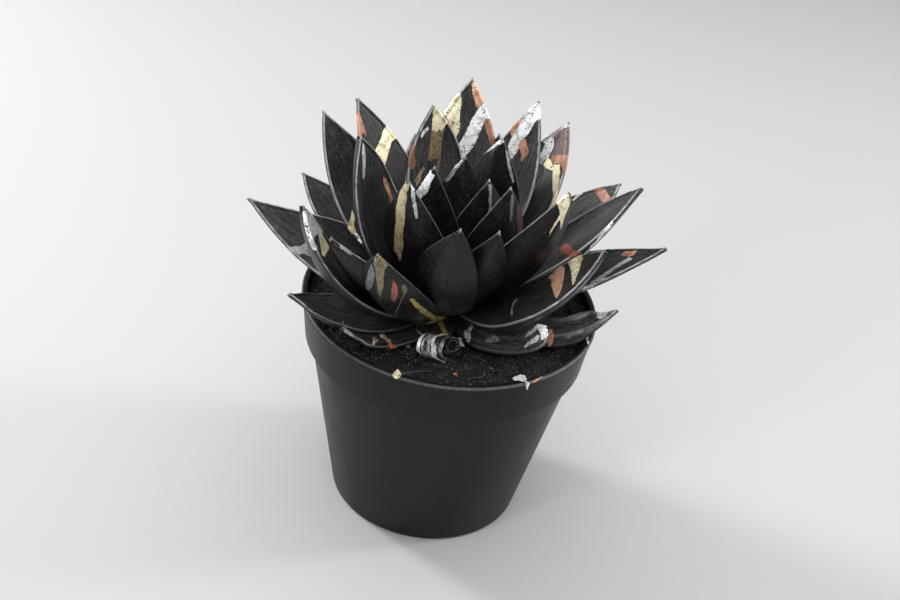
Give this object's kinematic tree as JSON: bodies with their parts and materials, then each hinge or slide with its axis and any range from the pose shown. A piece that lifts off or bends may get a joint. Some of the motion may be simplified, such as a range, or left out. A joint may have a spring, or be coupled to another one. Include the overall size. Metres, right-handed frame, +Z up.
{
  "type": "potted echeveria",
  "caption": "Black-painted echeveria rosette with pointed leaves and dabs of metal leaf, standing in dark peat in a small round black nursery pot.",
  "frame": {"origin": "middle of the pot's flat bottom, on the surface that the pot stands on", "axes": "+Z up along the pot's axis, +X to the right and +Y to the back as seen from the side that the picture shows"},
  "size_m": [0.1473, 0.1183, 0.1578],
  "materials": {
    "pot_plastic": "satin black moulded plastic with a fine grain",
    "peat": "dark fine peat with small crumbs and fibres",
    "painted_leaf": "satin black plant paint with dabs of gold, copper and silver metal leaf"
  },
  "bodies": {
    "root": {"pot": "pot_plastic", "soil": "peat", "rosette": "painted_leaf"}
  },
  "joints": []
}
